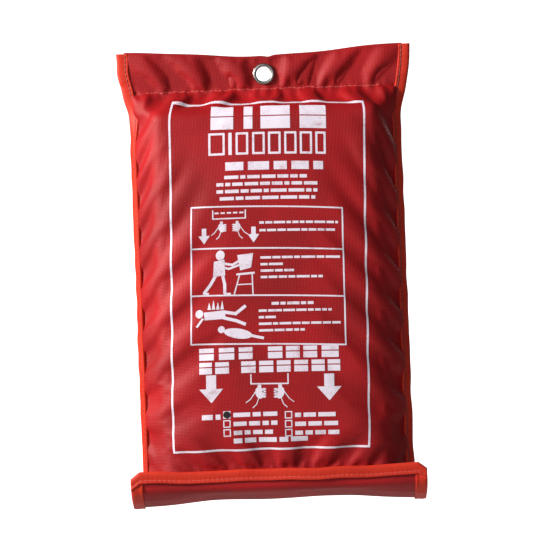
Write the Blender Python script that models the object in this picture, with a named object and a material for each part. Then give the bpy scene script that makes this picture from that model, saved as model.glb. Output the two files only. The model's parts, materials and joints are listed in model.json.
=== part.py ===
"""Soft-case fire blanket: a sewn wall pouch, its two-fold closing flap, and the folded blanket inside.

Metres, +Z up. The pouch hangs against a wall on the plane Y = 0 and faces -Y. The origin is the centre
of the hanging eyelet, on the wall plane.
"""

from math import cos, pi, radians, sin

import bmesh
import bpy
from mathutils import Matrix, Vector

# ---- Driving sizes: pouch ----
HEADER_WIDTH = 0.186  # over the edge tapes, where the header lies flat
BODY_WIDTH = 0.171  # over the edge tapes, where the filling draws the sides in
TOP_CORNER = 0.016  # height of the two top corners above the eyelet's centre
TOP_DIP = 0.005  # how far the top edge sags between its corners
HEADER_SEAM = -0.0095  # height of the stitched line under the header
BOTTOM_FOLD = -0.269  # height of the fold where the flap leaves the back panel
SEAM_DEPTH = 0.0095  # from the wall to the side seams of the filled pouch
SEAM_CLEAR = 0.0012  # bare flat cloth beside the side tape
SHOULDER = 0.0075  # how far in from the side tape the filled panel reaches its full depth
PANEL = 0.0008  # coated cloth with its backing
TAPE = 0.0009  # edge tape
TAPE_WIDTH = 0.0075  # visible width of the edge tape
GAP = 0.0003  # clearance between pieces that touch
NARROWING_SLOPE = 3.0  # height over which the header narrows into the body, per width lost
FLARE = 0.011  # height over which the sides widen again at the bottom fold
SEAM_END = 0.0045  # from the flap's knee up to the lower end of the side seams
SEAM_FADE = 0.0065  # height over which the back panel's edges return to the wall below the seams
FILL_RISE = 0.014  # height over which the panels swell below the header seam

# ---- Driving sizes: flap ----
FLAP_WIDTH = 0.1855
BASE_TILT = radians(71.0)  # tilt of the under-flap from upright, when it is closed
LIP_HEIGHT = 0.0130  # the part that stands up in front of the pouch
HINGE_CLEAR = 0.0010  # bare cloth on each side of a fold
STRIP_HEIGHT = 0.0075  # hook strip and loop strip
STRIP_THICKNESS = 0.0008
STRIP_WIDTH = 0.150

# ---- Driving sizes: hanging eyelet ----
EYELET_BORE = 0.0094
EYELET_FLANGE = 0.0136
EYELET_WALL = 0.0005
WASHER_DIAMETER = 0.0140
WASHER_THICKNESS = 0.0006

# ---- Driving sizes: folded blanket ----
BLANKET_TOP_ROOM = 0.0145  # from the header seam down to the blanket's top folds
BLANKET_FOOT_ROOM = 0.0275  # from the bottom fold up to the blanket's lower folds
LEAF = 0.0033  # one leaf is seven plies of glass cloth
LEAF_GAP = 0.00045
LEAF_COUNT = 5
REAR_LEAF = 0.108  # what is left of the cloth's length for the leaf at the back
FLAP_CLEAR = 0.0009  # from the opened flap's cloth to the first leaf as it slides past
FRONT_CLEAR = 0.0007  # from the last leaf to the front panel's inside
PULL_TAPE_WIDTH = 0.025
PULL_TAPE_THICKNESS = 0.0012
PULL_TAPE_DROP = 0.0160
PULL_TAPE_LOOP = 0.0022  # inside radius of the loop's lower bend
PULL_TAPE_INSET = 0.024  # from the blanket's side to each pull tape's centre

THREAD = 0.0005  # sewing thread, as a flat raised line
SHOULDER_STEPS = 5
ARC_STEPS = 8
ROUND_STEPS = 48

# ---- Sizes that follow from the driving ones ----
HEADER_SEAM_PLANE = 2.5 * GAP / 2 + PANEL + TAPE + GAP  # middle of the flat header, from the wall
NARROWING = NARROWING_SLOPE * (HEADER_WIDTH - BODY_WIDTH)
BACK_MID = PANEL / 2
HINGE_MID = PANEL / 2 + GAP + TAPE + GAP / 3  # the opened flap's tapes stay off the wall
FIRST_LEAF = HINGE_MID + PANEL / 2 + FLAP_CLEAR
LEAF_PITCH = LEAF + LEAF_GAP
LAST_LEAF = FIRST_LEAF + (LEAF_COUNT - 1) * LEAF_PITCH
POUCH_DEPTH = LAST_LEAF + LEAF + FRONT_CLEAR + PANEL  # from the wall to the filled front panel
FRONT_MID = POUCH_DEPTH - PANEL / 2
LOOP_MID = POUCH_DEPTH + GAP + STRIP_THICKNESS / 2
HOOK_MID = LOOP_MID + STRIP_THICKNESS + GAP
LIP_MID = HOOK_MID + STRIP_THICKNESS / 2 + GAP + PANEL / 2
HINGE = Vector((0, -HINGE_MID, BOTTOM_FOLD))
BASE_LENGTH = (LIP_MID - HINGE_MID) / sin(BASE_TILT)
KNEE = HINGE + Vector((0, -sin(BASE_TILT), cos(BASE_TILT))) * BASE_LENGTH
LIP_TOP = KNEE.z + LIP_HEIGHT
MOUTH = KNEE.z + 0.0012  # lower edge of the front panel
STRIP_BOTTOM = MOUTH + 0.0008
SEAM_LOW = KNEE.z + SEAM_END
BLANKET_WIDTH = BODY_WIDTH - 2 * (TAPE_WIDTH + SEAM_CLEAR + SHOULDER + GAP)
PULL_TAPE_OFFSET = BLANKET_WIDTH / 2 - PULL_TAPE_INSET
BLANKET_TOP = HEADER_SEAM - BLANKET_TOP_ROOM
BLANKET_BOTTOM = BOTTOM_FOLD + BLANKET_FOOT_ROOM

RED_CLOTH = ("red_cloth", (0.52, 0.012, 0.010), 0.55, 0.0)
EDGE_TAPE = ("edge_tape", (0.72, 0.035, 0.012), 0.80, 0.0)
DARK_STRIP = ("dark_strip", (0.35, 0.010, 0.010), 0.95, 0.0)
STEEL = ("plated_steel", (0.62, 0.62, 0.60), 0.28, 1.0)
GLASS_CLOTH = ("glass_cloth", (0.78, 0.77, 0.72), 0.65, 0.0)
BLACK_WEBBING = ("black_webbing", (0.02, 0.02, 0.02), 0.80, 0.0)
THREAD_FINISH = ("red_thread", (0.60, 0.03, 0.02), 0.60, 0.0)


def clear_scene():
    for item in list(bpy.data.objects):
        bpy.data.objects.remove(item, do_unlink=True)


def material(finish):
    name, colour, roughness, metallic = finish
    made = bpy.data.materials.get(name)
    if made is None:
        made = bpy.data.materials.new(name)
        made.use_nodes = True
        shader = made.node_tree.nodes["Principled BSDF"]
        shader.inputs["Base Color"].default_value = (*colour, 1.0)
        shader.inputs["Roughness"].default_value = roughness
        shader.inputs["Metallic"].default_value = metallic
    return made


def add_object(name, mesh, finish, parent=None):
    item = bpy.data.objects.new(name, mesh)
    bpy.context.collection.objects.link(item)
    item.data.materials.append(material(finish))
    if parent is not None:
        item.parent = parent
        item.matrix_parent_inverse = Matrix.Translation(-parent.location)
    return item


def grid_mesh(name, rows):
    """A quad grid through rows of points, all rows equally long."""
    mesh = bpy.data.meshes.new(name)
    shape = bmesh.new()
    made = [[shape.verts.new(point) for point in row] for row in rows]
    for lower, upper in zip(made, made[1:]):
        for column in range(len(lower) - 1):
            corners = (lower[column], lower[column + 1], upper[column + 1], upper[column])
            shape.faces.new(corners)
    shape.to_mesh(mesh)
    shape.free()
    return mesh


def solid_mesh(name, sections):
    """A closed solid through equal closed outlines, capped at both ends."""
    mesh = bpy.data.meshes.new(name)
    shape = bmesh.new()
    rings = [[shape.verts.new(point) for point in section] for section in sections]
    count = len(rings[0])
    for lower, upper in zip(rings, rings[1:]):
        for step in range(count):
            after = (step + 1) % count
            shape.faces.new((lower[step], lower[after], upper[after], upper[step]))
    shape.faces.new(list(reversed(rings[0])))
    shape.faces.new(rings[-1])
    bmesh.ops.recalc_face_normals(shape, faces=shape.faces)
    shape.to_mesh(mesh)
    shape.free()
    return mesh


def thicken(item, thickness):
    solid = item.modifiers.new("thickness", "SOLIDIFY")
    solid.thickness = thickness
    solid.offset = 0.0
    solid.use_even_offset = True
    return item


def ease(value):
    """0 below 0, 1 above 1, and a smooth rise between."""
    held = min(max(value, 0.0), 1.0)
    return held * held * (3.0 - 2.0 * held)


def top_edge(x):
    """Height of the sagging top edge."""
    return TOP_CORNER - TOP_DIP * cos(pi * x / HEADER_WIDTH) ** 2


def filled(z):
    """0 in the flat header, 1 where the blanket fills the pouch."""
    return ease((HEADER_SEAM - 0.002 - z) / FILL_RISE)


def side(z):
    """Half width over the edge tapes at a height."""
    narrow = ease((TOP_CORNER - 0.006 - z) / NARROWING)
    flare = ease((BOTTOM_FOLD + FLARE - z) / FLARE)
    return (HEADER_WIDTH + (BODY_WIDTH - HEADER_WIDTH) * (narrow - flare)) / 2


def seam_plane(z):
    """Distance of the side seam from the wall at a height."""
    drawn = ease((HEADER_SEAM - z) / NARROWING)
    return HEADER_SEAM_PLANE + (SEAM_DEPTH - HEADER_SEAM_PLANE) * drawn


def across(z):
    """Places across the pouch, from one cloth edge to the other, dense at the shoulders."""
    edge = side(z) - TAPE - GAP
    inner = side(z) - TAPE_WIDTH - SEAM_CLEAR
    right = [edge]
    for step in range(SHOULDER_STEPS + 1):
        right.append(inner - SHOULDER * step / SHOULDER_STEPS)
    middle = right[-1]
    centre = [middle * share for share in (0.5, 0.12, -0.12, -0.5)]
    return right + centre + [-value for value in reversed(right)]


def shoulder_share(x, z):
    """0 on the seam, 1 over the filled middle, with a round shoulder between."""
    run = (side(z) - TAPE_WIDTH - SEAM_CLEAR - abs(x)) / SHOULDER
    return sin(pi / 2 * min(max(run, 0.0), 1.0))


def heights(top, bottom):
    """Heights down the pouch, dense where its section changes."""
    ends = (
        (TOP_CORNER, 4),
        (HEADER_SEAM, 7),
        (HEADER_SEAM - 0.002 - FILL_RISE, 4),
        (HEADER_SEAM - NARROWING, 7),
        (SEAM_LOW, 4),
        (SEAM_LOW - SEAM_FADE, 2),
    )
    marks = [top]
    for (upper, steps), (lower, _) in zip(ends, ends[1:] + ((BOTTOM_FOLD, 0),)):
        for step in range(steps + 1):
            z = upper + (lower - upper) * step / steps
            if marks[-1] - 0.0004 > z > bottom + 0.0004:
                marks.append(z)
    return marks + [bottom]


def panel_rows(depth_at, bottom):
    """Rows of a panel from its sagging top edge down; the header's stitched line and all below are level."""
    rows = []
    for height in heights(TOP_CORNER, bottom):
        share = max(height - HEADER_SEAM, 0.0) / (TOP_CORNER - HEADER_SEAM)
        row = []
        for x in across(height):
            z = height - (TOP_CORNER - top_edge(x)) * share
            row.append((x, -depth_at(x, height), z))
        rows.append(row)
    return rows


def layer_depth(x, z, full, offset):
    """Distance from the wall of a layer on the seam plane's one side that swells to full."""
    edge = seam_plane(z) + offset
    flat = HEADER_SEAM_PLANE + offset
    middle = flat + (full - flat) * filled(z)
    return edge + (middle - edge) * shoulder_share(x, z)


def front_depth(x, z):
    return layer_depth(x, z, FRONT_MID, (GAP + PANEL) / 2)


def back_depth(x, z):
    """The back panel, whose lower end lies flat on the plane of the flap's hinge."""
    swollen = layer_depth(x, z, BACK_MID, -(GAP + PANEL) / 2)
    return swollen + (HINGE_MID - swollen) * ease((SEAM_LOW - z) / SEAM_FADE)


def cut_round(item, radius, name):
    """Cuts the eyelet's hole through a panel."""
    cutter_mesh = turned_mesh(name, [(0.0, 0.0), (radius, 0.0), (radius, 0.012), (0.0, 0.012)], False)
    cutter = bpy.data.objects.new(name, cutter_mesh)
    bpy.context.collection.objects.link(cutter)
    cutter.hide_render = True
    cutter.display_type = "WIRE"
    hole = item.modifiers.new("eyelet_hole", "BOOLEAN")
    hole.operation = "DIFFERENCE"
    hole.object = cutter


def turned_mesh(name, profile, hollow=True):
    """Turns a closed (radius, distance from the wall) outline about the eyelet's axis."""
    mesh = bpy.data.meshes.new(name)
    shape = bmesh.new()
    start = [shape.verts.new((radius, -depth, 0.0)) for radius, depth in profile]
    edges = [shape.edges.new(pair) for pair in zip(start, start[1:])]
    if hollow:
        edges.append(shape.edges.new((start[-1], start[0])))
    bmesh.ops.spin(
        shape,
        geom=start + edges,
        axis=(0, 1, 0),
        cent=(0, 0, 0),
        angle=2 * pi,
        steps=ROUND_STEPS,
        use_merge=True,
        use_duplicate=False,
    )
    bmesh.ops.remove_doubles(shape, verts=shape.verts, dist=0.00001)
    bmesh.ops.recalc_face_normals(shape, faces=shape.faces)
    shape.to_mesh(mesh)
    shape.free()
    mesh.shade_smooth()
    mesh.set_sharp_from_angle(angle=radians(35))
    return mesh


def channel(u_width, half_gap):
    """A folded tape's U section: (inward from the outer edge, across) points of its mid-line."""
    middle = half_gap + TAPE / 2
    inset = TAPE / 2
    return [
        (u_width, -middle),
        (inset + 0.0008, -middle),
        (inset, -middle + 0.0008),
        (inset, middle - 0.0008),
        (inset + 0.0008, middle),
        (u_width, middle),
    ]


def make_panels():
    front = grid_mesh("front_panel", panel_rows(front_depth, MOUTH))
    front_item = thicken(add_object("front_panel", front, RED_CLOTH), PANEL)
    back = grid_mesh("back_panel", panel_rows(back_depth, BOTTOM_FOLD + HINGE_CLEAR))
    back_item = thicken(add_object("back_panel", back, RED_CLOTH), PANEL)
    for item in (front_item, back_item):
        radius = EYELET_BORE / 2 + EYELET_WALL + GAP
        cut_round(item, radius, item.name + "_cutter")


def make_side_tapes():
    section = channel(TAPE_WIDTH, PANEL + 1.5 * GAP)
    for name, sign in (("left_edge_tape", -1), ("right_edge_tape", 1)):
        rows = []
        for z in heights(TOP_CORNER, SEAM_LOW):
            outer = side(z)
            rows.append([(sign * (outer - inward), -seam_plane(z) - deep, z) for inward, deep in section])
        mesh = grid_mesh(name, rows)
        thicken(add_object(name, mesh, EDGE_TAPE), TAPE)


def thread_line(name, points, across_line, parent=None):
    """A flat raised line of sewing thread along points; across_line is its width direction."""
    sections = []
    half = Vector(across_line) * THREAD / 2
    lift = Vector((0, -THREAD / 2, 0))
    for point in points:
        place = Vector(point)
        sections.append([place - half, place + half, place + half + lift, place - half + lift])
    add_object(name, solid_mesh(name, sections), THREAD_FINISH, parent)


def make_pouch_threads():
    start = HEADER_WIDTH / 2 - TAPE_WIDTH - 0.006
    places = [start - 2 * start * step / 16 for step in range(17)]
    surface = front_depth(0.0, HEADER_SEAM) + PANEL / 2 + GAP
    header = [(x, -surface, HEADER_SEAM) for x in places]
    thread_line("header_seam_thread", header, (0, 0, 1))
    for name, sign in (("left_seam_thread", -1), ("right_seam_thread", 1)):
        points = []
        for z in heights(TOP_CORNER - 0.001, SEAM_LOW + HINGE_CLEAR):
            x = sign * (side(z) - TAPE_WIDTH + 0.0015)
            face = seam_plane(z) + PANEL + 1.5 * GAP + TAPE + GAP
            points.append((x, -face - 0.0001, z))
        thread_line(name, points, (1, 0, 0))


def make_eyelet():
    bore = EYELET_BORE / 2
    flange = EYELET_FLANGE / 2
    front_face = HEADER_SEAM_PLANE + GAP / 2 + PANEL + GAP
    back_face = HEADER_SEAM_PLANE - GAP / 2 - PANEL - GAP
    crown = front_face + 0.0012
    profile = [
        (bore, 0.0001),
        (bore + EYELET_WALL, 0.0001),
        (bore + EYELET_WALL, front_face + 0.0001),
        (flange - 0.0002, front_face),
        (flange, front_face + 0.0003),
        (flange - 0.0006, front_face + 0.0009),
        (flange - 0.0013, crown),
        (bore + 0.0005, crown - 0.0001),
        (bore + 0.0001, crown - 0.0005),
    ]
    add_object("eyelet", turned_mesh("eyelet", profile), STEEL)
    inner = bore + EYELET_WALL + GAP
    outer = WASHER_DIAMETER / 2
    ring = [
        (inner, back_face - WASHER_THICKNESS),
        (outer - 0.0002, back_face - WASHER_THICKNESS),
        (outer, back_face - 0.0002),
        (outer, back_face),
        (inner, back_face),
    ]
    add_object("eyelet_washer", turned_mesh("eyelet_washer", ring), STEEL)


def box_mesh(name, low, high):
    """A closed box between two corners."""
    outline = [(low[0], low[1]), (high[0], low[1]), (high[0], high[1]), (low[0], high[1])]
    return solid_mesh(name, [[(x, y, z) for x, y in outline] for z in (low[2], high[2])])


def make_loop_strip():
    half = STRIP_WIDTH / 2
    low = (-half, -LOOP_MID - STRIP_THICKNESS / 2, STRIP_BOTTOM)
    high = (half, -LOOP_MID + STRIP_THICKNESS / 2, STRIP_BOTTOM + STRIP_HEIGHT)
    add_object("loop_strip", box_mesh("loop_strip", low, high), DARK_STRIP)


def pivot(name, place):
    empty = bpy.data.objects.new(name, None)
    bpy.context.collection.objects.link(empty)
    empty.location = place
    return empty


def swing(mesh, angle, centre):
    """Turns a mesh about a line along X through the centre."""
    turn = Matrix.Translation(centre) @ Matrix.Rotation(angle, 4, "X") @ Matrix.Translation(-centre)
    mesh.transform(turn)
    return mesh


def tape_channel(name, along, low, high, outer, plane):
    """A straight folded tape on a flat cloth edge; along is 'x' for a level edge or 'z' for a side edge."""
    half_gap = PANEL / 2 + GAP
    section = channel(TAPE_WIDTH, half_gap)
    rows = []
    for end in (low, high):
        if along == "z":
            sign = 1 if outer > 0 else -1
            rows.append([(outer - sign * inward, plane - deep, end) for inward, deep in section])
        else:
            rows.append([(end, plane - deep, outer - inward) for inward, deep in section])
    return grid_mesh(name, rows)


def make_flap_base(parent):
    half = FLAP_WIDTH / 2
    cloth = half - TAPE - GAP
    low = (-cloth, HINGE.y - PANEL / 2, HINGE.z + HINGE_CLEAR)
    high = (cloth, HINGE.y + PANEL / 2, HINGE.z + BASE_LENGTH - HINGE_CLEAR)
    panel = swing(box_mesh("flap_base_panel", low, high), BASE_TILT, HINGE)
    add_object("flap_base_panel", panel, RED_CLOTH, parent)
    bottom = low[2] + HINGE_CLEAR
    top = high[2] - HINGE_CLEAR
    for name, sign in (("flap_base_left_tape", -1), ("flap_base_right_tape", 1)):
        tape = tape_channel(name, "z", bottom, top, sign * half, HINGE.y)
        thicken(add_object(name, swing(tape, BASE_TILT, HINGE), EDGE_TAPE, parent), TAPE)


def make_flap_lip(parent):
    half = FLAP_WIDTH / 2
    cloth = half - TAPE - GAP
    low = (-cloth, KNEE.y - PANEL / 2, KNEE.z + HINGE_CLEAR)
    high = (cloth, KNEE.y + PANEL / 2, LIP_TOP - TAPE - GAP)
    add_object("flap_lip_panel", box_mesh("flap_lip_panel", low, high), RED_CLOTH, parent)
    level = tape_channel("flap_lip_edge_tape", "x", -half, half, LIP_TOP, KNEE.y)
    thicken(add_object("flap_lip_edge_tape", level, EDGE_TAPE, parent), TAPE)
    top = LIP_TOP - TAPE_WIDTH - GAP
    for name, sign in (("flap_lip_left_tape", -1), ("flap_lip_right_tape", 1)):
        tape = tape_channel(name, "z", low[2] + HINGE_CLEAR, top, sign * half, KNEE.y)
        thicken(add_object(name, tape, EDGE_TAPE, parent), TAPE)
    strip = STRIP_WIDTH / 2
    strip_low = (-strip, -HOOK_MID - STRIP_THICKNESS / 2, STRIP_BOTTOM)
    strip_high = (strip, -HOOK_MID + STRIP_THICKNESS / 2, LIP_TOP - TAPE_WIDTH - GAP)
    add_object("hook_strip", box_mesh("hook_strip", strip_low, strip_high), DARK_STRIP, parent)
    face = KNEE.y - PANEL / 2 - 2 * GAP - TAPE
    edge_row = [(x, face, LIP_TOP - TAPE_WIDTH + 0.0015) for x in (-half + 0.001, 0.0, half - 0.001)]
    thread_line("flap_edge_thread", edge_row, (0, 0, 1), parent)


def fold(centre, level, way, radius):
    """Half a turn of (distance from the wall, height), towards the front; way is 1 over a top fold."""
    steps = [pi * step / ARC_STEPS for step in range(ARC_STEPS + 1)]
    return [(centre - radius * cos(angle), level + way * radius * sin(angle)) for angle in steps]


def serpentine():
    """Outline, as (distance from the wall, height), of leaves joined by round folds, from the rear leaf on."""
    rear_end = BLANKET_BOTTOM + REAR_LEAF
    outer = LEAF + LEAF_GAP / 2
    inner = LEAF_GAP / 2
    one_side = [(FIRST_LEAF, rear_end)]
    other_side = [(FIRST_LEAF + LEAF, rear_end)]
    for leaf in range(1, LEAF_COUNT):
        centre = FIRST_LEAF + leaf * LEAF_PITCH - LEAF_GAP / 2
        if leaf % 2:
            one_side += fold(centre, BLANKET_BOTTOM + outer, -1, outer)
            other_side += fold(centre, BLANKET_BOTTOM + outer, -1, inner)
        else:
            one_side += fold(centre, BLANKET_TOP - outer, 1, inner)
            other_side += fold(centre, BLANKET_TOP - outer, 1, outer)
    one_side.append((LAST_LEAF, BLANKET_BOTTOM))
    other_side.append((LAST_LEAF + LEAF, BLANKET_BOTTOM))
    return one_side + list(reversed(other_side))


def make_blanket(parent):
    half = BLANKET_WIDTH / 2
    outline = serpentine()
    sections = [[(x, -depth, z) for depth, z in outline] for x in (-half, half)]
    add_object("folded_blanket", solid_mesh("folded_blanket", sections), GLASS_CLOTH, parent)


def make_pull_tapes(parent):
    """Each pull tape is a short webbing loop hanging from the front leaf's lower edge."""
    outer = PULL_TAPE_LOOP + PULL_TAPE_THICKNESS
    centre = LAST_LEAF + LEAF - outer
    top = BLANKET_BOTTOM - GAP
    level = BLANKET_BOTTOM - PULL_TAPE_DROP + outer
    outside = [(centre + outer, top)]
    inside = [(centre + PULL_TAPE_LOOP, top)]
    for step in range(ARC_STEPS + 1):
        angle = pi * step / ARC_STEPS
        outside.append((centre + outer * cos(angle), level - outer * sin(angle)))
        inside.append((centre + PULL_TAPE_LOOP * cos(angle), level - PULL_TAPE_LOOP * sin(angle)))
    outside.append((centre - outer, top))
    inside.append((centre - PULL_TAPE_LOOP, top))
    outline = outside + list(reversed(inside))
    for name, sign in (("left_pull_tape", -1), ("right_pull_tape", 1)):
        middle = sign * PULL_TAPE_OFFSET
        ends = (middle - PULL_TAPE_WIDTH / 2, middle + PULL_TAPE_WIDTH / 2)
        sections = [[(x, -depth, z) for depth, z in outline] for x in ends]
        add_object(name, solid_mesh(name, sections), BLACK_WEBBING, parent)


clear_scene()
make_panels()
make_side_tapes()
make_pouch_threads()
make_eyelet()
make_loop_strip()
make_flap_base(pivot("flap_base_pivot", HINGE))
make_flap_lip(pivot("flap_lip_pivot", KNEE))
blanket_slide = pivot("blanket_slide", Vector((0, -POUCH_DEPTH / 2, BLANKET_TOP)))
make_blanket(blanket_slide)
make_pull_tapes(blanket_slide)
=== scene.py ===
import json
from math import acos, cos, pi, radians, sin, sqrt

import bpy
import numpy as np
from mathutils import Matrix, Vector


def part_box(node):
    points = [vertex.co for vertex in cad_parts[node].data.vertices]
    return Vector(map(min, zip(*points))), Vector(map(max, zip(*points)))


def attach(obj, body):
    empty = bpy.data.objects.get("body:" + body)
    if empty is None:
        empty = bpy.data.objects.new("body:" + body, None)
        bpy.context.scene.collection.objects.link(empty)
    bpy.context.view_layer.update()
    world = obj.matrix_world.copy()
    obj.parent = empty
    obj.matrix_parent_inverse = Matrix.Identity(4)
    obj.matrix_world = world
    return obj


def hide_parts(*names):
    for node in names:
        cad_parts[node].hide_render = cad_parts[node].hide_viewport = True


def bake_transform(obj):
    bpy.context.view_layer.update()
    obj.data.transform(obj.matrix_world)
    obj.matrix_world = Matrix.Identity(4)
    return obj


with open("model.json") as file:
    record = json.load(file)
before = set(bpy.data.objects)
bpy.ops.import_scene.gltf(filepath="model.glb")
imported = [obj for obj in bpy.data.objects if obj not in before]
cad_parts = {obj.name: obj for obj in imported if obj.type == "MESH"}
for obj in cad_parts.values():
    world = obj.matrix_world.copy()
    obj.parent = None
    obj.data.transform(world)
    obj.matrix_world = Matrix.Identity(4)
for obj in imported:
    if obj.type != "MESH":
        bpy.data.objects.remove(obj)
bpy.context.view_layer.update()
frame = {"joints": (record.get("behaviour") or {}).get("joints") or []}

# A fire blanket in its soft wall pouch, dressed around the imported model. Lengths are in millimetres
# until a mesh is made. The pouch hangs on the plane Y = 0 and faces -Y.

MM = 0.001


def corners(node):
    """Lowest and highest corner of a CAD node, in millimetres."""
    low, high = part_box(node)
    return np.array(low) / MM, np.array(high) / MM


def joint_place(name):
    """A hinge's (distance from the wall, height), in millimetres."""
    place = next(joint["pos_m"] for joint in frame["joints"] if joint["name"] == name)
    return -place[1] / MM, place[2] / MM


TAPE_LOW, TAPE_HIGH = corners("left_edge_tape")
BLANKET_LOW, BLANKET_HIGH = corners("folded_blanket")
FOLD_DEPTH, FOLD_Z = joint_place("flap_base_hinge")
KNEE_DEPTH, KNEE_Z = joint_place("flap_lip_hinge")
TOP_CORNER = TAPE_HIGH[2]
HEADER_HALF = -TAPE_LOW[0]
BODY_HALF = BLANKET_HIGH[0] + 16.5  # shoulder, bare seam and side tape beside the blanket
TOP_DIP = 5.0  # how far the top edge sags between its corners
HEADER_SEAM = corners("header_seam_thread")[0][2] + 0.25
MOUTH = corners("front_panel")[0][2]
FRONT_DEPTH = -corners("front_panel")[0][1]
SEAM_FOOT = TAPE_LOW[2]
HEADER_DEPTH = 2.65  # from the wall to the middle of the flat header
SEAM_DEPTH = 9.5  # from the wall to the side seams of the filled pouch
NARROWING = 45.0  # height over which the header narrows into the body
TAPE_WIDTH = 7.5
TAPE_REAR = 1.75  # the side tapes come no nearer to the wall
LEFT_SHOWN = 3.4  # how much of the tipped side tape faces forwards, left and right
RIGHT_SHOWN = 5.4
CLOTH = 0.55  # thickness of the coated cloth
GRID = 2.25  # spacing of the simulated threads
SPREAD = 178.5  # flat width of the front cut between the side tapes


def ease(value):
    held = np.clip(value, 0.0, 1.0)
    return held * held * (3.0 - 2.0 * held)


def ripple(x, z, size, seed):
    """Soft irregular waves between about -1 and 1, with crests about size apart."""
    draw = np.random.RandomState(seed)
    total = 0.0
    for _ in range(7):
        angle = draw.uniform(0, 2 * pi)
        stretch = draw.uniform(0.7, 1.5)
        shift = draw.uniform(0, 2 * pi)
        along = (x * cos(angle) + z * sin(angle)) * 2 * pi / (size * stretch)
        total = total + np.sin(along + shift)
    return total / 2.6


def side_at(z):
    """Half width over the side tapes: wide at the header and at the bottom fold."""
    drawn_in = ease((TOP_CORNER - 6.0 - z) / NARROWING) - ease((FOLD_Z + 12.0 - z) / 11.0)
    return HEADER_HALF + (BODY_HALF - HEADER_HALF) * drawn_in


def seam_at(z):
    """Distance of the side seams from the wall."""
    out = HEADER_DEPTH + (SEAM_DEPTH - HEADER_DEPTH) * ease((HEADER_SEAM - z) / NARROWING)
    return out + (FOLD_DEPTH + 0.5 - out) * ease((SEAM_FOOT - z) / 9.0)


def shown_at(z, side):
    """How much of a side tape faces forwards; the rest is tipped back by the swelling pouch."""
    body = LEFT_SHOWN if side < 0 else RIGHT_SHOWN
    tipped = ease((HEADER_SEAM + 8.0 - z) / NARROWING) * (1.0 - ease((SEAM_FOOT + 2.0 - z) / 8.0))
    return TAPE_WIDTH + (body - TAPE_WIDTH) * tipped


def tape_point(z, side, inward):
    """A point on the middle of the seam, inward from the tape's outer edge: x, y."""
    shown = shown_at(z, side)
    share = inward / TAPE_WIDTH
    drop = np.sqrt(np.maximum(TAPE_WIDTH**2 - shown**2, 0.0))
    x = side * (side_at(z) - shown * share)
    y = -seam_at(z) + drop * (1.0 - share)
    return x, np.minimum(y, -TAPE_REAR)


def top_edge(x):
    """Height of the header's sagging top edge, with the nick where the two halves of the hem meet."""
    sag = TOP_DIP * np.cos(pi * x / (2 * HEADER_HALF)) ** 2
    return TOP_CORNER - sag - 0.9 * np.exp(-((x - 3.0) / 2.5) ** 2) + 0.35 * ripple(x, 0.0, 60.0, 3)


def relax(cloth, pattern, pinned, push, keep_clear, steps):
    """Settles a cloth grid: threads return to their cut length, and keep_clear holds it off its filling."""
    rows, columns, _ = cloth.shape
    index = np.arange(rows * columns).reshape(rows, columns)
    flat = pattern.reshape(-1, 3)
    free = 1.0 - pinned.reshape(-1).astype(float)
    groups = []
    for down, along, strength in (
        (0, 1, 1.0), (1, 0, 1.0), (1, 1, 0.35), (1, -1, 0.35),
        (0, 2, 0.5), (2, 0, 0.5), (0, 5, 0.25), (5, 0, 0.25),
    ):
        first = index[: rows - down, max(0, -along): columns - max(0, along)]
        second = index[down:, max(0, along): columns + min(0, along)]
        line = (first // columns // down) if down else (first % columns // along)
        for phase in (0, 1):
            chosen = line % 2 == phase
            one, other = first[chosen], second[chosen]
            rest = np.linalg.norm(flat[other] - flat[one], axis=1)
            weight = free[one] + free[other]
            held = weight > 0
            groups.append((one[held], other[held], rest[held], weight[held], strength, max(down, along) > 1))
    now = cloth.reshape(-1, 3).copy()
    fixed = now.copy()
    before = now.copy()
    for _ in range(steps):
        speed = (now - before) * 0.94
        before = now.copy()
        now = now + (speed + push) * free[:, None]
        for _ in range(4):
            for one, other, rest, weight, strength, bend in groups:
                gap = now[other] - now[one]
                length = np.linalg.norm(gap, axis=1)
                change = strength * (length - rest) / (length * weight)
                if bend:
                    change = np.minimum(change, 0.0)
                step = gap * change[:, None]
                now[one] += step * free[one][:, None]
                now[other] -= step * free[other][:, None]
            now = keep_clear(now)
        now[free == 0] = fixed[free == 0]
    return now.reshape(rows, columns, 3)


def between(grid, row, column):
    """Smooth points between the crossings of a grid (Catmull-Rom both ways)."""
    def weights(value, count):
        start = np.clip(np.floor(value).astype(int), 0, count - 2)
        t = value - start
        share = (
            -0.5 * t + t**2 - 0.5 * t**3,
            1 - 2.5 * t**2 + 1.5 * t**3,
            0.5 * t + 2 * t**2 - 1.5 * t**3,
            -0.5 * t**2 + 0.5 * t**3,
        )
        return [np.clip(start + step - 1, 0, count - 1) for step in range(4)], share

    row, column = np.broadcast_arrays(np.asarray(row, float), np.asarray(column, float))
    row_places, row_shares = weights(row, grid.shape[0])
    column_places, column_shares = weights(column, grid.shape[1])
    total = np.zeros(row.shape + (3,))
    for r, row_share in zip(row_places, row_shares):
        for c, column_share in zip(column_places, column_shares):
            total += grid[r, c] * (row_share * column_share)[..., None]
    return total


def facing(grid, row, column, step=0.3):
    """Unit vectors square to the cloth, towards the viewer when rows run down and columns to +X."""
    down = between(grid, row + step, column) - between(grid, row - step, column)
    along = between(grid, row, column + step) - between(grid, row, column - step)
    normal = np.cross(down, along)
    return normal / np.maximum(np.linalg.norm(normal, axis=-1, keepdims=True), 1e-9)


def unit(vectors):
    return vectors / np.linalg.norm(vectors, axis=-1, keepdims=True)


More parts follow.
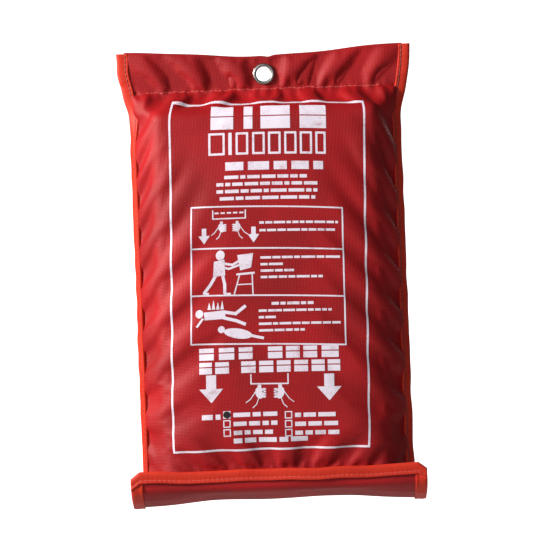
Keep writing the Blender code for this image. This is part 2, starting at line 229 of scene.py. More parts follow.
def make_object(name, points, faces, material, flat=None):
    """A mesh object from millimetre points; flat gives each point's place on the uncut cloth."""
    points = np.asarray(points, float).reshape(-1, 3)
    used, faces_flat = np.unique(np.concatenate([np.ravel(face) for face in faces]), return_inverse=True)
    sizes = [len(face) for face in faces]
    splits = np.split(faces_flat, np.cumsum(sizes)[:-1])
    mesh = bpy.data.meshes.new(name)
    mesh.from_pydata((points[used] * MM).tolist(), [], [part.tolist() for part in splits])
    mesh.materials.append(material)
    if flat is not None:
        places = np.asarray(flat, float).reshape(-1, 2)[used] * MM
        layer = mesh.uv_layers.new(name="cloth")
        corner = np.empty(len(mesh.loops), int)
        mesh.loops.foreach_get("vertex_index", corner)
        layer.data.foreach_set("uv", places[corner].ravel())
    mesh.shade_smooth()
    item = bpy.data.objects.new(name, mesh)
    bpy.context.scene.collection.objects.link(item)
    return item


def cloth_sheet(name, front, thickness, material, kept=None, flipped=False, flat=None):
    """A closed sheet of cloth: front is its face, and its back lies thickness behind it."""
    rows, columns, _ = front.shape
    row, column = np.meshgrid(np.arange(rows, dtype=float), np.arange(columns, dtype=float), indexing="ij")
    back = front - facing(front, row, column) * thickness * (-1 if flipped else 1)
    index = np.arange(rows * columns).reshape(rows, columns)
    if kept is None:
        kept = np.ones((rows - 1, columns - 1), bool)
    padded = np.pad(kept, 1)
    a, b, c, d = index[:-1, :-1], index[1:, :-1], index[1:, 1:], index[:-1, 1:]
    behind = rows * columns
    faces = []

    def add(mask, *loop):
        quads = np.stack([part[mask] for part in loop], axis=1)
        faces.append(quads[:, ::-1] if flipped else quads)

    add(kept, a, b, c, d)
    add(kept, d + behind, c + behind, b + behind, a + behind)
    add(kept & ~padded[:-2, 1:-1], a, d, d + behind, a + behind)
    add(kept & ~padded[2:, 1:-1], c, b, b + behind, c + behind)
    add(kept & ~padded[1:-1, :-2], b, a, a + behind, b + behind)
    add(kept & ~padded[1:-1, 2:], d, c, c + behind, d + behind)
    points = np.concatenate([front.reshape(-1, 3), back.reshape(-1, 3)])
    if flat is not None:
        flat = np.concatenate([flat.reshape(-1, 2)] * 2)
    return make_object(name, points, list(np.concatenate(faces)), material, flat)


def linear(hex_colour):
    """An sRGB hex colour as linear red, green, blue and alpha."""
    shares = [int(hex_colour[place:place + 2], 16) / 255 for place in (1, 3, 5)]
    return [part / 12.92 if part <= 0.04045 else ((part + 0.055) / 1.055) ** 2.4 for part in shares] + [1.0]


def node(tree, kind, links=None, **settings):
    """Adds a shader node; settings are properties or input values, links join inputs to outputs."""
    made = tree.nodes.new(kind)
    for key, value in settings.items():
        if hasattr(made, key):
            setattr(made, key, value)
        else:
            made.inputs[key.replace("_", " ")].default_value = value
    for key, source in (links or {}).items():
        tree.links.new(source, made.inputs[key])
    return made


def new_material(name):
    made = bpy.data.materials.new(name)
    made.use_nodes = True
    tree = made.node_tree
    return made, tree, tree.nodes["Principled BSDF"]


def weave_height(tree, pitch):
    """Height of a plain weave: over-and-under threads pitch millimetres apart on the flat cloth."""
    place = node(tree, "ShaderNodeUVMap", uv_map="cloth")
    parts = node(tree, "ShaderNodeSeparateXYZ", {"Vector": place.outputs["UV"]})
    waves = []
    for axis in ("X", "Y"):
        angle = node(tree, "ShaderNodeMath", {0: parts.outputs[axis]}, operation="MULTIPLY")
        angle.inputs[1].default_value = pi / (pitch * MM)
        waves.append(node(tree, "ShaderNodeMath", {0: angle.outputs[0]}, operation="SINE").outputs[0])
    crossed = node(tree, "ShaderNodeMath", {0: waves[0], 1: waves[1]}, operation="MULTIPLY")
    return node(tree, "ShaderNodeMath", {0: crossed.outputs[0]}, operation="ABSOLUTE").outputs[0]


def woven_material(name, dark, light, pitch, roughness, sheen, depth, blotch):
    """Woven cloth: crossing threads in relief, dye a little uneven, and a nap that catches side light.

    The thread pitch, the relief's depth and the size of the uneven patches are in millimetres.
    """
    made, tree, shader = new_material(name)
    weave = weave_height(tree, pitch)
    place = {"Vector": node(tree, "ShaderNodeTexCoord").outputs["Object"]}
    uneven = node(tree, "ShaderNodeTexNoise", place, Scale=1000 / blotch, Detail=4.0)
    fine = node(tree, "ShaderNodeTexNoise", place, Scale=900.0, Detail=2.0)
    half = node(tree, "ShaderNodeMath", {0: weave}, operation="MULTIPLY_ADD")
    half.inputs[1].default_value = 0.45
    half.inputs[2].default_value = -0.12
    shade = node(tree, "ShaderNodeMath", {0: half.outputs[0], 1: uneven.outputs["Fac"]}, operation="ADD")
    ramp = node(tree, "ShaderNodeMapRange", {"Value": shade.outputs[0]}, From_Min=0.3, From_Max=1.0)
    mix = node(tree, "ShaderNodeMix", {"Factor": ramp.outputs["Result"]}, data_type="RGBA")
    mix.inputs["A"].default_value = linear(dark)
    mix.inputs["B"].default_value = linear(light)
    tree.links.new(mix.outputs["Result"], shader.inputs["Base Color"])
    relief = node(tree, "ShaderNodeMath", {0: weave, 1: fine.outputs["Fac"]}, operation="ADD")
    bump = node(tree, "ShaderNodeBump", {"Height": relief.outputs[0]}, Distance=depth * MM, Strength=0.8)
    tree.links.new(bump.outputs["Normal"], shader.inputs["Normal"])
    matte = node(tree, "ShaderNodeMapRange", {"Value": fine.outputs["Fac"]})
    matte.inputs["To Min"].default_value = roughness - 0.06
    matte.inputs["To Max"].default_value = roughness + 0.08
    tree.links.new(matte.outputs["Result"], shader.inputs["Roughness"])
    shader.inputs["Sheen Weight"].default_value = sheen
    shader.inputs["Sheen Roughness"].default_value = 0.45
    shader.inputs["Specular IOR Level"].default_value = 0.28
    shader.inputs["Sheen Tint"].default_value = linear("#ff8078")
    return made


# Polyester oxford, piece-dyed red and coated on its back: a low satin sheen over a visible basket of
# threads, drawn 0.9 mm apart so that it shows.
oxford = woven_material("dyed_polyester_oxford", "#82070c", "#b20d15", 0.9, 0.54, 0.04, 0.10, 38.0)

SHOULDER_REACH = 13.0  # how far in from the seam the filled panel reaches its full depth
FLAT_HEADER = 7.5  # radius of the flat ring of cloth that the eyelet grips
columns = int(round(SPREAD / GRID))
header_rows = 11
body_rows = 114


def start_shape(depth_full, sign, bottom):
    """Flat cut and first shape of a panel; sign is -1 for the front layer and 1 for the back one."""
    u = np.linspace(-SPREAD / 2, SPREAD / 2, columns + 1)
    share_across = u / (SPREAD / 2)
    pattern = np.zeros((header_rows + body_rows + 1, columns + 1, 3))
    shape = np.zeros_like(pattern)
    long_way = HEADER_SEAM - bottom + 8.0
    for row in range(header_rows + body_rows + 1):
        if row <= header_rows:
            part = row / header_rows
            top = top_edge(share_across * (HEADER_HALF - TAPE_WIDTH))
            z = top + (HEADER_SEAM - top) * part
            pattern[row, :, 1] = z - HEADER_SEAM
        else:
            part = (row - header_rows) / body_rows
            z = np.full(columns + 1, HEADER_SEAM + (bottom - HEADER_SEAM) * part)
            pattern[row, :, 1] = -long_way * part
        pattern[row, :, 0] = u
        left_x, left_y = tape_point(z[0], -1, TAPE_WIDTH - 2.5)
        right_x, right_y = tape_point(z[-1], 1, TAPE_WIDTH - 2.5)
        across = (share_across + 1) / 2
        x = left_x + (right_x - left_x) * across
        edge = left_y + (right_y - left_y) * across
        run = np.minimum(x - left_x, right_x - x) / SHOULDER_REACH
        rise = np.sin(pi / 2 * np.clip(run, 0, 1)) * ease((HEADER_SEAM - 1.0 - z) / 15.0)
        flat_y = edge + (-HEADER_DEPTH - edge) * np.clip(run, 0, 1) + sign * 0.4
        shape[row, :, 0] = x
        shape[row, :, 1] = flat_y + (-depth_full - flat_y) * rise
        shape[row, :, 2] = z
    return pattern, shape


def pinned_edges(shape, sign, seed):
    """Holds the panel at its side seams, top edge, header stitching and mouth, with puckered stitching."""
    pinned = np.zeros(shape.shape[:2], bool)
    pinned[:, 0] = pinned[:, -1] = pinned[0, :] = pinned[-1, :] = True
    draw = np.random.RandomState(seed)
    pucker = draw.uniform(-1, 1, shape.shape[1]) + 0.8 * ripple(shape[0, :, 0], 0.0, 9.0, seed + 2)
    pinned[header_rows, :] = True
    shape[header_rows, :, 1] += sign * 0.25 + 0.3 * pucker
    shape[header_rows, :, 2] += 0.5 * draw.uniform(-1, 1, shape.shape[1])
    shape[0, :, 1] += sign * (0.35 + 0.35 * ripple(shape[0, :, 0], 0.0, 55.0, seed + 1))
    near = np.hypot(shape[..., 0], shape[..., 2]) < FLAT_HEADER
    pinned |= near
    shape[near, 1] = -HEADER_DEPTH + sign * 0.42
    return pinned


FILLING_HIGH = BLANKET_HIGH[2] + 3.5
FILLING_LOW = MOUTH - 10.0  # the pull tapes hang on down to the mouth
FILLING_HALF = BLANKET_HIGH[0] + 4.4  # loose folds hold the cloth out past the blanket's sides
FILLING_FRONT = FRONT_DEPTH - 0.7
FILLING_BACK = 2.6
CORNER = 8.5  # radius of the filling's soft corners
LIP_HOLD = -249.0  # below this height the flap's lip holds the mouth in
SWELL = 4.5  # how far the front may bulge above that
filling_centre = np.array([0.0, -(FILLING_FRONT + FILLING_BACK) / 2, (FILLING_LOW + FILLING_HIGH) / 2])
filling_half = np.array([FILLING_HALF, (FILLING_FRONT - FILLING_BACK) / 2, (FILLING_HIGH - FILLING_LOW) / 2])


def off_filling(points):
    """Lifts points off the folded blanket, whose face is a little uneven."""
    shifted = points - filling_centre
    inner = np.abs(shifted) - (filling_half - CORNER)
    outside = np.maximum(inner, 0.0)
    length = np.linalg.norm(outside, axis=1)
    reach = CORNER + 0.4 + 0.35 * ripple(points[:, 0], points[:, 2], 75.0, 11)
    distance = length - reach
    inside = (distance < 0) & (length > 1e-6)
    direction = outside[inside] / length[inside][:, None] * np.sign(shifted[inside])
    points[inside] -= direction * distance[inside][:, None]
    return points


def clear_of_front(points):
    points = off_filling(points)
    header = points[:, 2] > HEADER_SEAM
    points[header, 1] = np.minimum(points[header, 1], -HEADER_DEPTH - 0.32)
    deepest = FRONT_DEPTH + 0.1 + SWELL * ease((points[:, 2] - LIP_HOLD) / 14.0)
    points[:, 1] = np.maximum(points[:, 1], -deepest)
    return points


front_pattern, front_shape = start_shape(FRONT_DEPTH - 0.5, -1, MOUTH)
front_pinned = pinned_edges(front_shape, -1, 21)
front_shape[..., 1] += 0.5 * ripple(front_shape[..., 0], front_shape[..., 2], 22.0, 5) * ~front_pinned
front_grid = relax(
    front_shape, front_pattern, front_pinned, np.array([0.0, -0.0010, 0.0]), clear_of_front, 130,
)
EYELET_HOLE = 5.6  # the flange hides the raw edge


def fine_panel(grid, pattern, hem):
    """The settled grid at twice the resolution, with its top edge turned back by hem, and its hole."""
    rows, across = grid.shape[:2]
    row = np.linspace(0, rows - 1, 2 * rows - 1)[:, None]
    column = np.linspace(0, across - 1, 2 * across - 1)[None, :]
    fine = between(grid, row, column)
    flat = between(pattern, row, column)[..., :2]
    turns = []
    for degrees in (80, 52, 25):
        turn = fine[0].copy()
        turn[:, 1] -= hem * (1 - cos(radians(degrees)))
        turn[:, 2] += abs(hem) * sin(radians(degrees))
        turns.append(turn)
    fine = np.concatenate([np.array(turns), fine])
    flat = np.concatenate([np.repeat(flat[:1], 3, axis=0), flat])
    flat[:3, :, 1] += np.array([2.1, 1.4, 0.7])[:, None]
    centre = (fine[:-1, :-1] + fine[1:, 1:]) / 2
    kept = np.hypot(centre[..., 0], centre[..., 2]) > EYELET_HOLE
    return fine, flat, kept


front_fine, front_flat, front_kept = fine_panel(front_grid, front_pattern, -0.55)
front_cloth = cloth_sheet("front_panel_cloth", front_fine, CLOTH, oxford, front_kept, flat=front_flat)
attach(front_cloth, "pouch")
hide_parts("front_panel")

# ======== Screen print ========
# White plastisol ink, screen printed on the front: a frame, plain bars where wording would be, three
# boxes of simple pictures, and two arrows. The screen stood a little askew on the cloth.
PRINT_W = 122.0
PRINT_H = 217.0
PRINT_CORNERS = np.array([[[-59.4, -17.2], [61.3, -20.0]], [[-66.0, -235.4], [57.0, -236.1]]])
CELL = 1.3  # longest edge of a piece of ink, so that it follows the cloth
ink_points = []
ink_faces = []
middle_row = front_grid.shape[0] // 2
row_heights = front_grid[:, columns // 2, 2]
column_places = front_grid[middle_row, :, 0]


def on_cloth(p, q, lift):
    """A point of the artwork, p across and q down in millimetres, laid on the hanging front."""
    a = np.asarray(p, float)[..., None] / PRINT_W
    b = np.asarray(q, float)[..., None] / PRINT_H
    (one, two), (three, four) = PRINT_CORNERS
    place = (one * (1 - a) + two * a) * (1 - b) + (three * (1 - a) + four * a) * b
    row = np.interp(-place[..., 1], -row_heights, np.arange(len(row_heights)))
    column = np.interp(place[..., 0], column_places, np.arange(columns + 1))
    return between(front_grid, row, column) + facing(front_grid, row, column) * lift


def patch(one, two, three, four):
    """A four-cornered patch of ink, corners in order round it, divided finely enough to follow the cloth."""
    one, two, three, four = (np.array(corner, float) for corner in (one, two, three, four))
    down = max(1, int(np.ceil(max(np.linalg.norm(four - one), np.linalg.norm(three - two)) / CELL)))
    along = max(1, int(np.ceil(max(np.linalg.norm(two - one), np.linalg.norm(three - four)) / CELL)))
    s = np.linspace(0, 1, along + 1)[None, :, None]
    t = np.linspace(0, 1, down + 1)[:, None, None]
    place = (one * (1 - s) + two * s) * (1 - t) + (four * (1 - s) + three * s) * t
    start = sum(len(part) for part in ink_points)
    index = np.arange(place.shape[0] * place.shape[1]).reshape(place.shape[:2]) + start
    lift = 0.06 + 0.006 * (len(ink_points) % 12)  # overlapping strokes never share a level
    ink_points.append(on_cloth(place[..., 0], place[..., 1], lift).reshape(-1, 3))
    quads = np.stack([index[:-1, :-1], index[1:, :-1], index[1:, 1:], index[:-1, 1:]], axis=-1)
    ink_faces.extend(quads.reshape(-1, 4))


def bar(p, q, width, height):
    patch((p, q), (p + width, q), (p + width, q + height), (p, q + height))


def stroke(points, width):
    """An ink line through points, with square joints."""
    points = np.array(points, float)
    for first, last in zip(points, points[1:]):
        run = unit(last - first)
        aside = np.array([-run[1], run[0]]) * width / 2
        reach = run * width * 0.35
        patch(first - reach - aside, last + reach - aside, last + reach + aside, first - reach + aside)


def round_shape(p, q, half_wide, half_high, turn=0.0, parts=8):
    """A filled ellipse, built from strips."""
    level = np.cos(np.linspace(0, pi, parts + 1))
    across = np.array([cos(turn), sin(turn)])
    down = np.array([-sin(turn), cos(turn)])
    centre = np.array([p, q])
    for upper, lower in zip(level, level[1:]):
        wide_up, wide_low = sqrt(max(1 - upper**2, 0.004)), sqrt(max(1 - lower**2, 0.004))
        patch(*(
            centre + across * half_wide * wide - down * half_high * high
            for wide, high in ((-wide_up, upper), (wide_up, upper), (wide_low, lower), (-wide_low, lower))
        ))


def words(start, end, q, height, seed):
    """A line of wording as plain bars of uneven length."""
    draw = np.random.RandomState(seed)
    p = start
    while p < end - 1.5:
        length = min(draw.uniform(2.6, 9.0) * (height / 1.5) ** 0.5, end - p)
        bar(p, q - (p - start) * 0.001, length, height)
        p += length + height * 0.55


def blocks(places, q, height, cut):
    """Big wording as solid blocks, each slit once so that it has the weight of print."""
    for p, width in places:
        bar(p, q, width, height * cut - 0.35)
        bar(p, q + height * cut + 0.35, width, height * (1 - cut) - 0.35)


def arrow_down(p, q, width, length, shaft, head):
    tip = q + length
    bar(p - shaft / 2, q, shaft, length - head)
    patch((p - width / 2, tip - head), (p + width / 2, tip - head), (p + 0.15, tip), (p - 0.15, tip))


def gripping_hand(p, q, side, size):
    """A closed hand holding a strap's end: a knuckled fist with its wrist spreading down and outwards."""
    round_shape(p, q + 1.9 * size, 2.1 * size, 3.0 * size, side * 0.25)
    for step in range(4):
        knuckle = (p - side * 2.2 * size, q + (0.1 + step * 1.25) * size)
        round_shape(*knuckle, 1.1 * size, 0.55 * size, 0.0, 5)
    bar(p - 0.9 * size, q - 2.2 * size, 1.8 * size, 2.0 * size)
    for wrist in (((1.9, 1.2), (4.6, 5.0), (6.8, 6.6)), ((0.5, 4.6), (1.6, 7.6), (3.4, 9.2))):
        stroke([(p + side * out * size, q + down * size) for out, down in wrist], 0.55)


# frame and boxes
stroke([(0, 0), (PRINT_W, 0)], 1.25)
stroke([(PRINT_W, 0), (PRINT_W, PRINT_H)], 1.25)
stroke([(PRINT_W, PRINT_H), (0, PRINT_H)], 1.25)
stroke([(0, PRINT_H), (0, 0)], 1.25)
for one, two in (
    ((13.1, 64.7), (107.7, 66.7)), ((12.9, 90.6), (107.7, 92.7)),
    ((12.7, 119.9), (107.9, 122.3)), ((12.5, 150.1), (108.6, 152.8)),
    ((13.1, 64.7), (12.5, 150.1)), ((107.7, 66.7), (108.6, 152.8)),
):
    stroke([one, two], 0.95)
# headings
blocks([(25.5, 14.3), (46.4, 5.6), (57.1, 18.6), (81.8, 16.6)], 2.6, 14.4, 0.44)
for p, width in (
    (24.8, 9.0), (37.4, 0.8), (42.0, 6.6), (52.4, 6.6), (62.4, 6.6), (72.6, 6.4), (82.4, 6.4), (92.2, 5.2),
):
    stroke([(p, 19.8), (p + width, 19.8), (p + width, 32.4), (p, 32.4), (p, 19.8)], 1.35)
words(34.7, 96.2, 37.6, 5.2, 3)
for place, (q, start, end) in enumerate((
    (46.0, 34.0, 88.0), (50.4, 29.0, 92.5), (54.8, 29.0, 92.4), (59.2, 31.0, 91.0),
)):
    words(start, end, q, 2.1, 10 + place)
# first box: a strap under the pouch, two hands and the pull direction
for step in range(5):
    bar(27.6 + step * 3.9, 68.6, 2.7, 1.0)
stroke([(26.6, 67.4), (26.6, 72.6), (47.0, 72.6), (47.0, 67.6)], 0.8)
gripping_hand(32.0, 76.4, -1, 0.95)
gripping_hand(41.8, 76.4, 1, 0.95)
for p in (21.0, 52.0):
    arrow_down(p, 78.2, 7.2, 9.6, 2.8, 5.0)
words(55.7, 105.0, 75.0, 1.5, 21)
words(55.7, 103.0, 79.8, 1.5, 22)
# second box: a standing person lays a sheet over a pan on its stand
round_shape(31.0, 95.4, 2.8, 3.1, 0.2)
patch((27.0, 99.2), (33.6, 98.0), (34.0, 108.0), (26.4, 108.6))
stroke([(32.4, 100.4), (38.6, 101.6), (43.8, 98.6)], 1.5)
stroke([(28.6, 101.4), (36.2, 104.0), (43.2, 101.6)], 1.3)
stroke([(28.0, 108.0), (24.6, 113.6), (21.0, 118.2)], 1.9)
stroke([(32.4, 108.0), (33.6, 113.6), (33.6, 118.8)], 1.9)
stroke([(20.4, 118.8), (23.2, 119.0)], 1.2)
stroke([(33.6, 119.4), (37.0, 119.5)], 1.2)
patch((41.6, 95.6), (51.6, 94.6), (50.2, 103.6), (43.4, 105.2))
stroke([(41.4, 107.6), (52.0, 106.9)], 1.3)
stroke([(43.0, 107.8), (39.6, 119.6)], 0.8)
stroke([(50.8, 107.2), (51.2, 120.0)], 0.8)
stroke([(41.6, 114.0), (51.0, 113.8)], 0.7)
for place, (q, end) in enumerate(((96.8, 106.0), (101.0, 72.0), (105.0, 78.0), (109.0, 95.0))):
    words(56.1, end, q, 1.5, 30 + place)
# third box: a person lies down with clothing alight, and one lies rolled in a sheet
round_shape(17.6, 131.4, 2.4, 2.6, 0.0)
patch((20.4, 130.6), (33.4, 129.6), (34.0, 135.0), (20.8, 135.4))
stroke([(19.6, 134.6), (16.2, 139.2)], 1.3)
stroke([(33.4, 130.8), (40.2, 132.0), (46.0, 127.6)], 2.0)
stroke([(33.2, 134.4), (40.6, 136.4), (45.8, 138.6)], 2.0)
for place, high in enumerate((4.2, 5.6, 4.4, 5.2)):
    low = 22.6 + place * 2.7
    patch((low + 1.1, 129.0 - high), (low + 1.3, 129.0 - high), (low + 2.2, 129.0), (low, 129.0))
round_shape(31.2, 141.6, 2.2, 2.2, 0.3)
round_shape(41.6, 144.4, 9.0, 3.1, 0.17, 10)
stroke([(50.0, 146.0), (57.0, 147.6)], 1.7)
words(62.7, 89.0, 125.4, 1.8, 41)
for place, (q, end) in enumerate(((129.9, 100.2), (134.0, 67.0), (138.1, 107.2), (142.2, 83.2))):
    words(54.6, end, q, 1.5, 42 + place)
# the two big lines, arrows, strap and hands
blocks([
    (17.2, 9.0), (29.4, 9.6), (41.8, 8.6), (60.0, 9.0), (71.2, 8.6), (82.0, 8.6), (93.4, 10.6),
], 153.1, 7.4, 0.42)
blocks([
    (17.2, 7.8), (27.0, 8.6), (43.2, 9.0), (54.4, 8.8), (65.4, 8.6), (76.2, 8.6), (87.0, 8.2), (97.0, 7.8),
], 161.9, 7.2, 0.42)
arrow_down(24.4, 169.8, 14.6, 17.2, 6.2, 8.6)
arrow_down(97.8, 170.8, 15.2, 16.6, 6.2, 8.6)
stroke([(49.2, 170.2), (49.2, 176.0), (72.2, 176.4), (72.2, 170.4)], 0.85)
gripping_hand(54.4, 179.4, -1, 1.25)
gripping_hand(67.2, 179.6, 1, 1.25)
# sizes to tick, and the last line
words(18.4, 29.8, 194.4, 3.2, 60)
for row, (left_q, right_q) in enumerate(((192.8, 194.0), (198.4, 199.6), (204.0, 205.2))):
    for p, q in ((31.8, left_q), (70.2, right_q)):
        stroke([(p, q), (p + 3.9, q), (p + 3.9, q + 4.0), (p, q + 4.0), (p, q)], 0.7)
        words(p + 6.0, p + 33.4, q + 0.9, 2.7, 61 + row * 2 + int(p > 50))
words(37.6, 84.0, 209.7, 3.0, 71)

# Plastisol ink pressed through a screen and cured: a matt off-white, thinned where folds have rubbed
# it, so that the red shows faintly through.
ink, tree, shader = new_material("white_plastisol_ink_worn")
place = {"Vector": node(tree, "ShaderNodeTexCoord").outputs["Object"]}
grain = node(tree, "ShaderNodeTexNoise", place, Scale=1500.0, Detail=3.0)
patchy = node(tree, "ShaderNodeTexNoise", place, Scale=160.0, Detail=3.0)
both = node(tree, "ShaderNodeMath", {0: grain.outputs["Fac"], 1: patchy.outputs["Fac"]}, operation="ADD")
thin = node(tree, "ShaderNodeMapRange", {"Value": both.outputs[0]}, From_Min=0.62, From_Max=0.95)
coat = node(tree, "ShaderNodeMix", {"Factor": thin.outputs["Result"]}, data_type="RGBA")
coat.inputs["A"].default_value = linear("#b998a4")
coat.inputs["B"].default_value = linear("#ddd6e3")
tree.links.new(coat.outputs["Result"], shader.inputs["Base Color"])
shader.inputs["Roughness"].default_value = 0.55
print_cloth = make_object("front_screen_print", np.concatenate(ink_points), ink_faces, ink)
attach(print_cloth, "pouch")

ink_points.clear()
ink_faces.clear()
round_shape(33.8, 194.8, 2.3, 2.2)


def plain_material(name, colour, roughness):
    made, tree, shader = new_material(name)
    shader.inputs["Base Color"].default_value = linear(colour)
    shader.inputs["Roughness"].default_value = roughness
    return made, shader


# Felt-pen ink over the print: an even near-black, a little glossier than the cloth.
marker = plain_material("black_marker_ink", "#17140f", 0.4)[0]
tick = make_object("size_tick_mark", np.concatenate(ink_points), ink_faces, marker)
tick.location.y = -0.0001
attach(tick, "pouch")

# ======== Back of the pouch ========
# The same oxford cloth, cut flat and settled between the wall and the blanket. It is bound to the
# front at both sides, and below the seams it runs on into the closing flap.
BACK_SWELL = 2.3  # how far the back may come off the wall behind the blanket

def clear_of_back(points):
    """Keeps the back between the wall and the blanket."""
    across = np.abs(points[:, 0]) < BLANKET_HIGH[0] + 3.0
    behind = across & (points[:, 2] < BLANKET_HIGH[2] + 2.0) & (points[:, 2] > BLANKET_LOW[2] - 2.0)
    points[:, 1] = np.clip(points[:, 1], np.where(behind, -BACK_SWELL, -9.6), -0.6)
    return points


BACK_FOOT = FOLD_Z + 7.0
back_pattern, back_shape = start_shape(0.7, 1, BACK_FOOT)
back_pinned = pinned_edges(back_shape, 1, 44)
back_shape[-1, :, 1] = -FOLD_DEPTH + 0.35
back_shape[..., 1] += 0.4 * ripple(back_shape[..., 0], back_shape[..., 2], 30.0, 6) * ~back_pinned
back_pattern[header_rows:, :, 1] *= 0.975
back_pattern[header_rows + 8:, :, 0] *= 0.952
back_grid = relax(back_shape, back_pattern, back_pinned, np.array([0.0, 0.0006, 0.0]), clear_of_back, 60)
back_fine, back_flat, back_kept = fine_panel(back_grid, back_pattern, 0.3)
back_cloth = cloth_sheet("back_panel_cloth", back_fine, CLOTH, oxford, back_kept, flat=back_flat)
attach(back_cloth, "pouch")
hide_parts("back_panel")

# ======== Side binding ========
# Orange-red grosgrain tape folded over the raw side edges and lockstitched. The swelling pouch tips
# each fin of tape backwards, so less than its full width shows from the front.
TAPE_PLY = 1.05  # half thickness of the bound edge
LOCK = 1.9  # from the tape's inner edge to its stitching
PITCH = 3.0  # from stitch to stitch
# Woven polyester grosgrain: brighter and more orange than the cloth, matt, with a fine close rib.
grosgrain = woven_material("grosgrain_polyester_binding", "#b3200c", "#d6361a", 0.7, 0.48, 0.05, 0.08, 25.0)


def bound_edge(fold, inward, outward, width, ply, waves, far_ply=None):
    """Rows of a tape folded over an edge: fold is the path of its outer edge, as arrays of points."""
    legs = np.array([
        (width, 0.35), (width - 0.15, 0.95), (width - 0.6, 1.0), (width * 0.8, 0.94), (width - LOCK, 0.80),
        (width * 0.6, 0.98), (width * 0.35, 1.05), (1.4, 1.0), (0.5, 0.80), (0.06, 0.35),
    ])
    ring = [(s, t) for s, t in legs] + [(s, -t) for s, t in legs[::-1]]
    rows = []
    for place, (into, up, wave) in enumerate(zip(inward, outward, waves)):
        row = []
        for s, t in ring:
            reach = ply if t > 0 else (far_ply or ply)
            pinch = 1.0 - 0.10 * wave * np.exp(-((s - width + LOCK) / 0.9) ** 2)
            row.append(fold[place] + into * s + up * t * reach * pinch)
        rows.append(row)
    return np.array(rows)


def loft(name, rows, material, flipped=False):
    """A closed solid through rings of points, with its own running lengths as cloth coordinates."""
    count, around, _ = rows.shape
    wrapped = np.concatenate([rows, rows[:, :1]], axis=1)
    along = np.concatenate([[0], np.cumsum(np.linalg.norm(np.diff(rows[:, 0], axis=0), axis=1))])
    girth = np.concatenate([[0], np.cumsum(np.linalg.norm(np.diff(wrapped[count // 2], axis=0), axis=1))])
    index = np.arange(count * (around + 1)).reshape(count, around + 1)
    a, b, c, d = index[:-1, :-1], index[1:, :-1], index[1:, 1:], index[:-1, 1:]
    faces = list(np.stack([a, b, c, d], axis=-1).reshape(-1, 4))
    faces += [index[0, :-1], index[-1, :-1][::-1]]
    if flipped:
        faces = [face[::-1] for face in faces]
    flat = np.stack(np.broadcast_arrays(girth[None, :], along[:, None]), axis=-1)
    return make_object(name, wrapped, faces, material, flat)


def edge_tape(name, side):
    """One side binding, the line where it is sewn, and which way it faces there."""
    height = np.arange(TOP_CORNER, SEAM_FOOT, -0.75)
    height = np.append(height, SEAM_FOOT)
    outer = np.array([[*tape_point(z, side, 0.0), z] for z in height])
    inner = np.array([[*tape_point(z, side, TAPE_WIDTH), z] for z in height])
    frayed = 0.22 * ripple(height, height * 0, 19.0, 31 if side < 0 else 32)
    outer[:, 0] += side * frayed
    outer[:, 1] += 0.35 * ripple(height, height * 0, 34.0, 35 if side < 0 else 36)
    into = unit(inner - outer)
    up = unit(np.cross(into, np.array([0.0, 0.0, 1.0])) * (-side))
    up[up[:, 1] > 0] *= -1
    stitch_wave = np.cos(2 * pi * (height - TOP_CORNER) / PITCH)
    rows = bound_edge(outer, into, up, TAPE_WIDTH, TAPE_PLY, stitch_wave)
    sewn = outer + into * (TAPE_WIDTH - LOCK)
    return loft(name + "_edge_tape_cloth", rows, grosgrain, flipped=side > 0), sewn, up


tapes = {}
for side, name in ((-1, "left"), (1, "right")):
    tape, sewn, up = edge_tape(name, side)
    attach(tape, "pouch")
    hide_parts(name + "_edge_tape")
    tapes[name] = (sewn, up)

# ======== Stitching on the pouch ========
# Red polyester sewing thread, 0.45 mm thick, lockstitched at a 3 mm pitch: every stitch arches out of
# one hole and into the next.
THREAD = 0.23  # radius


def strand_material(name, dark, light, grain, detail, roughness, sheen):
    """Thread or pile: its colour varies from strand to strand, with a soft nap."""
    made, tree, shader = new_material(name)
    place = {"Vector": node(tree, "ShaderNodeTexCoord").outputs["Object"]}
    twist = node(tree, "ShaderNodeTexNoise", place, Scale=grain, Detail=detail)
    tint = node(tree, "ShaderNodeMix", {"Factor": twist.outputs["Fac"]}, data_type="RGBA")
    tint.inputs["A"].default_value = linear(dark)
    tint.inputs["B"].default_value = linear(light)
    tree.links.new(tint.outputs["Result"], shader.inputs["Base Color"])
    shader.inputs["Roughness"].default_value = roughness
    shader.inputs["Sheen Weight"].default_value = sheen
    return made


# Twisted polyester thread, dyed: its plies catch the light along one side. The header and lip show the
# thread's own lighter red; on the side seams the same thread is darkened, a painted shadow along the tapes'
# inner edges.
thread_finish = (2500.0, 1.0, 0.5, 0.3)
thread_light = strand_material("polyester_sewing_thread_light_red", "#8d1a1c", "#e0564c", *thread_finish)
side_thread_painted_shade = strand_material("polyester_sewing_thread_with_painted_seam_shadow", "#3c0508", "#7a1014", *thread_finish)


def strands(name, lines, radius, material, sides=5):
    """Many short round strands in one mesh; every line has the same number of points."""
    lines = np.asarray(lines)
    count, steps, _ = lines.shape
    run = unit(np.gradient(lines, axis=1))
    aside = unit(np.cross(run, np.array([0.31, 0.17, 0.93])))
    across = np.cross(run, aside)
    angle = np.arange(sides) * 2 * pi / sides
    ring = aside[:, :, None] * np.cos(angle)[:, None] + across[:, :, None] * np.sin(angle)[:, None]
    points = lines[:, :, None] + ring * radius
    index = np.arange(count * steps * sides).reshape(count, steps, sides)
    after = np.roll(index, -1, axis=2)
    a, b, c, d = index[:, :-1], after[:, :-1], after[:, 1:], index[:, 1:]
    return make_object(name, points, list(np.stack([a, b, c, d], axis=-1).reshape(-1, 4)), material)


